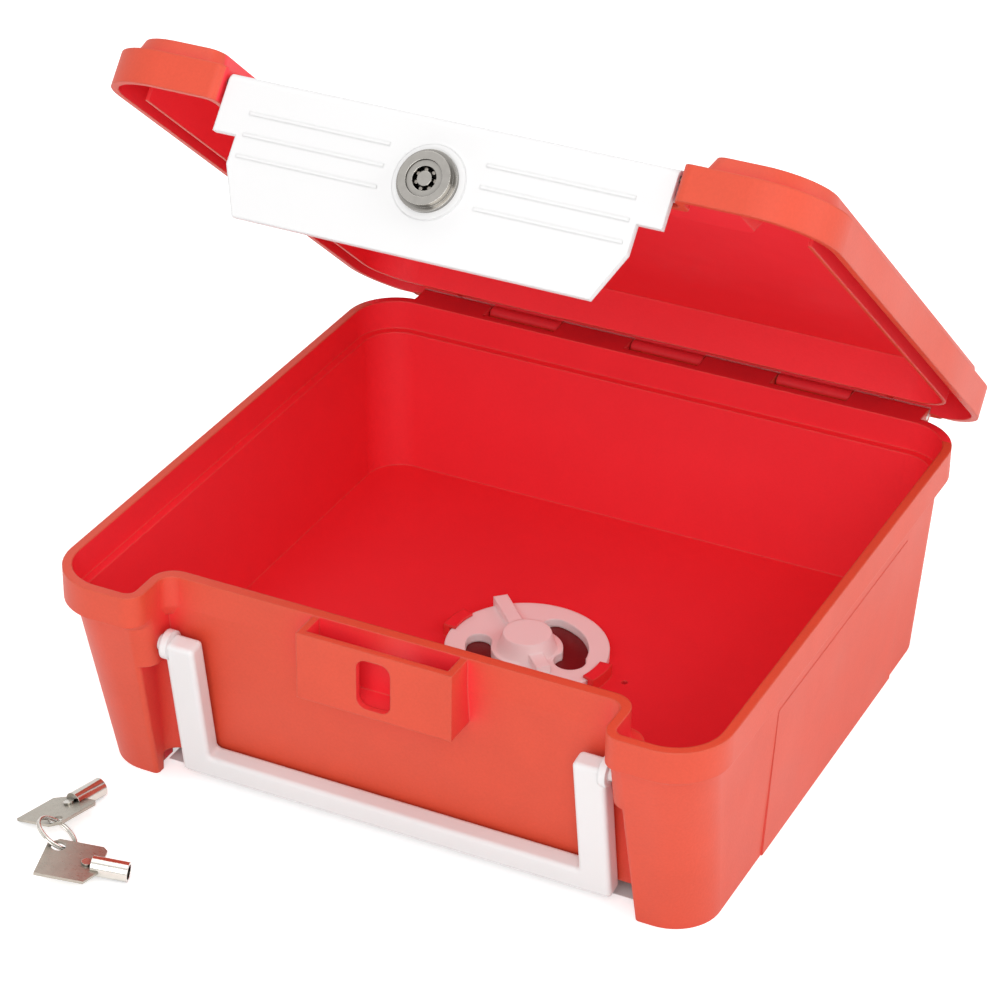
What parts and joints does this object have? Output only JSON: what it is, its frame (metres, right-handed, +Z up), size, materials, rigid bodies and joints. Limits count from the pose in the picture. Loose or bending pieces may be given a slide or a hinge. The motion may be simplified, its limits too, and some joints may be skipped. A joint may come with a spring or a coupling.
{
  "type": "lockable storage box",
  "caption": "Red plastic carry box with a hinged lid, white locking front flap, swing-down handle, inside mounting disc and tubular keys on a ring",
  "frame": {"origin": "middle of the rim at the back of the base, on the ground that the box stands on", "axes": "+X to the right seen from the front, +Y to the back, +Z up"},
  "size_m": [0.304, 0.371, 0.3017],
  "materials": {
    "red_plastic": "fine grained moulded red plastic",
    "white_plastic": "smooth white plastic",
    "pink_plastic": "smooth white plastic that picks up red from the tub",
    "steel": "bare steel",
    "chrome": "nickel plated"
  },
  "bodies": {
    "tub": {"box_tub": "red_plastic", "hinge_pin": "steel"},
    "lid": {"box_lid": "red_plastic", "flap_rod": "steel"},
    "flap": {"front_flap": "white_plastic", "lock_housing": "chrome", "lock_washer": "steel", "lock_nut": "steel"},
    "lock": {"lock_core": "chrome", "lock_drivers": "steel", "lock_cam": "steel", "cam_screw": "steel"},
    "handle": {"carry_handle": "white_plastic"},
    "disc": {"turn_disc": "pink_plastic"},
    "keys": {"key_a_barrel": "chrome", "key_a_bow": "steel", "key_a_rivet": "steel", "key_b_barrel": "chrome", "key_b_bow": "steel", "key_b_rivet": "steel", "key_ring": "steel"}
  },
  "joints": [
    {"name": "lid_hinge", "type": "hinge", "parent": "tub", "child": "lid", "pos_m": [0, 0.0209, 0.0955], "axis": [-1, 0, 0], "range_deg": [-40.17, 60]},
    {"name": "flap_hinge", "type": "hinge", "parent": "lid", "child": "flap", "pos_m": [0, -0.19834, 0.29327], "axis": [-1, 0, 0], "range_deg": [0, 120]},
    {"name": "lock_turn", "type": "hinge", "parent": "flap", "child": "lock", "pos_m": [0, -0.21506, 0.27873], "axis": [0, 0.7641, -0.6451], "range_deg": [0, 90]},
    {"name": "handle_swing", "type": "hinge", "parent": "tub", "child": "handle", "pos_m": [0, -0.2541, 0.07], "axis": [-1, 0, 0], "range_deg": [0, 100]},
    {"name": "disc_turn", "type": "hinge", "parent": "tub", "child": "disc", "pos_m": [0, -0.1226, 0.0177], "axis": [0, 0, 1], "range_deg": [-70, 0]},
    {"name": "keys_lift", "type": "slide", "parent": "tub", "child": "keys", "axis": [0, -0.4472, 0.8944], "range_m": [0, 0.15]}
  ]
}
